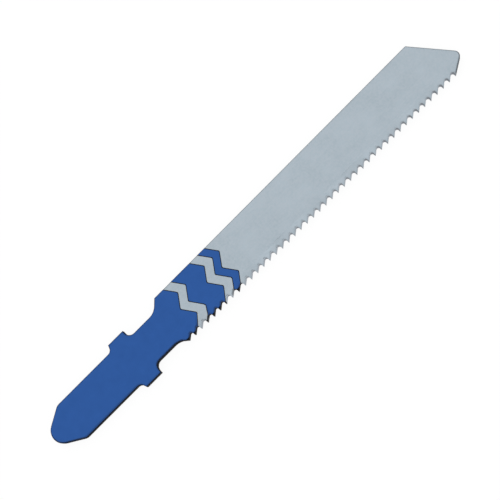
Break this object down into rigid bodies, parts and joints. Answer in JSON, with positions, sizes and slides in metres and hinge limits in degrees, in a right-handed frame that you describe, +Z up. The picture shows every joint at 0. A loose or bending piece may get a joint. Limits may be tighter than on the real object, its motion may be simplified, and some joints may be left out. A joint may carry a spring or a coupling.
{
  "type": "jigsaw blade",
  "caption": "Flat T-shank jigsaw blade for metal: fine milled teeth with a wavy set along one edge, slanted free end, and a shank with two lugs and a pointed round nose.",
  "frame": {"origin": "on the centre line of the shank, in the plane of the lugs' front shoulders, on the lower face", "axes": "+X along the blade to its free end, +Y across it to the back edge (the teeth are on -Y), +Z up through the thickness"},
  "size_m": [0.0768, 0.0082, 0.0013],
  "materials": {
    "blade_steel": "matt ground high-speed steel, lacquered blue on the shank and in zigzag bands"
  },
  "bodies": {
    "root": {"blade": "blade_steel"}
  },
  "joints": []
}
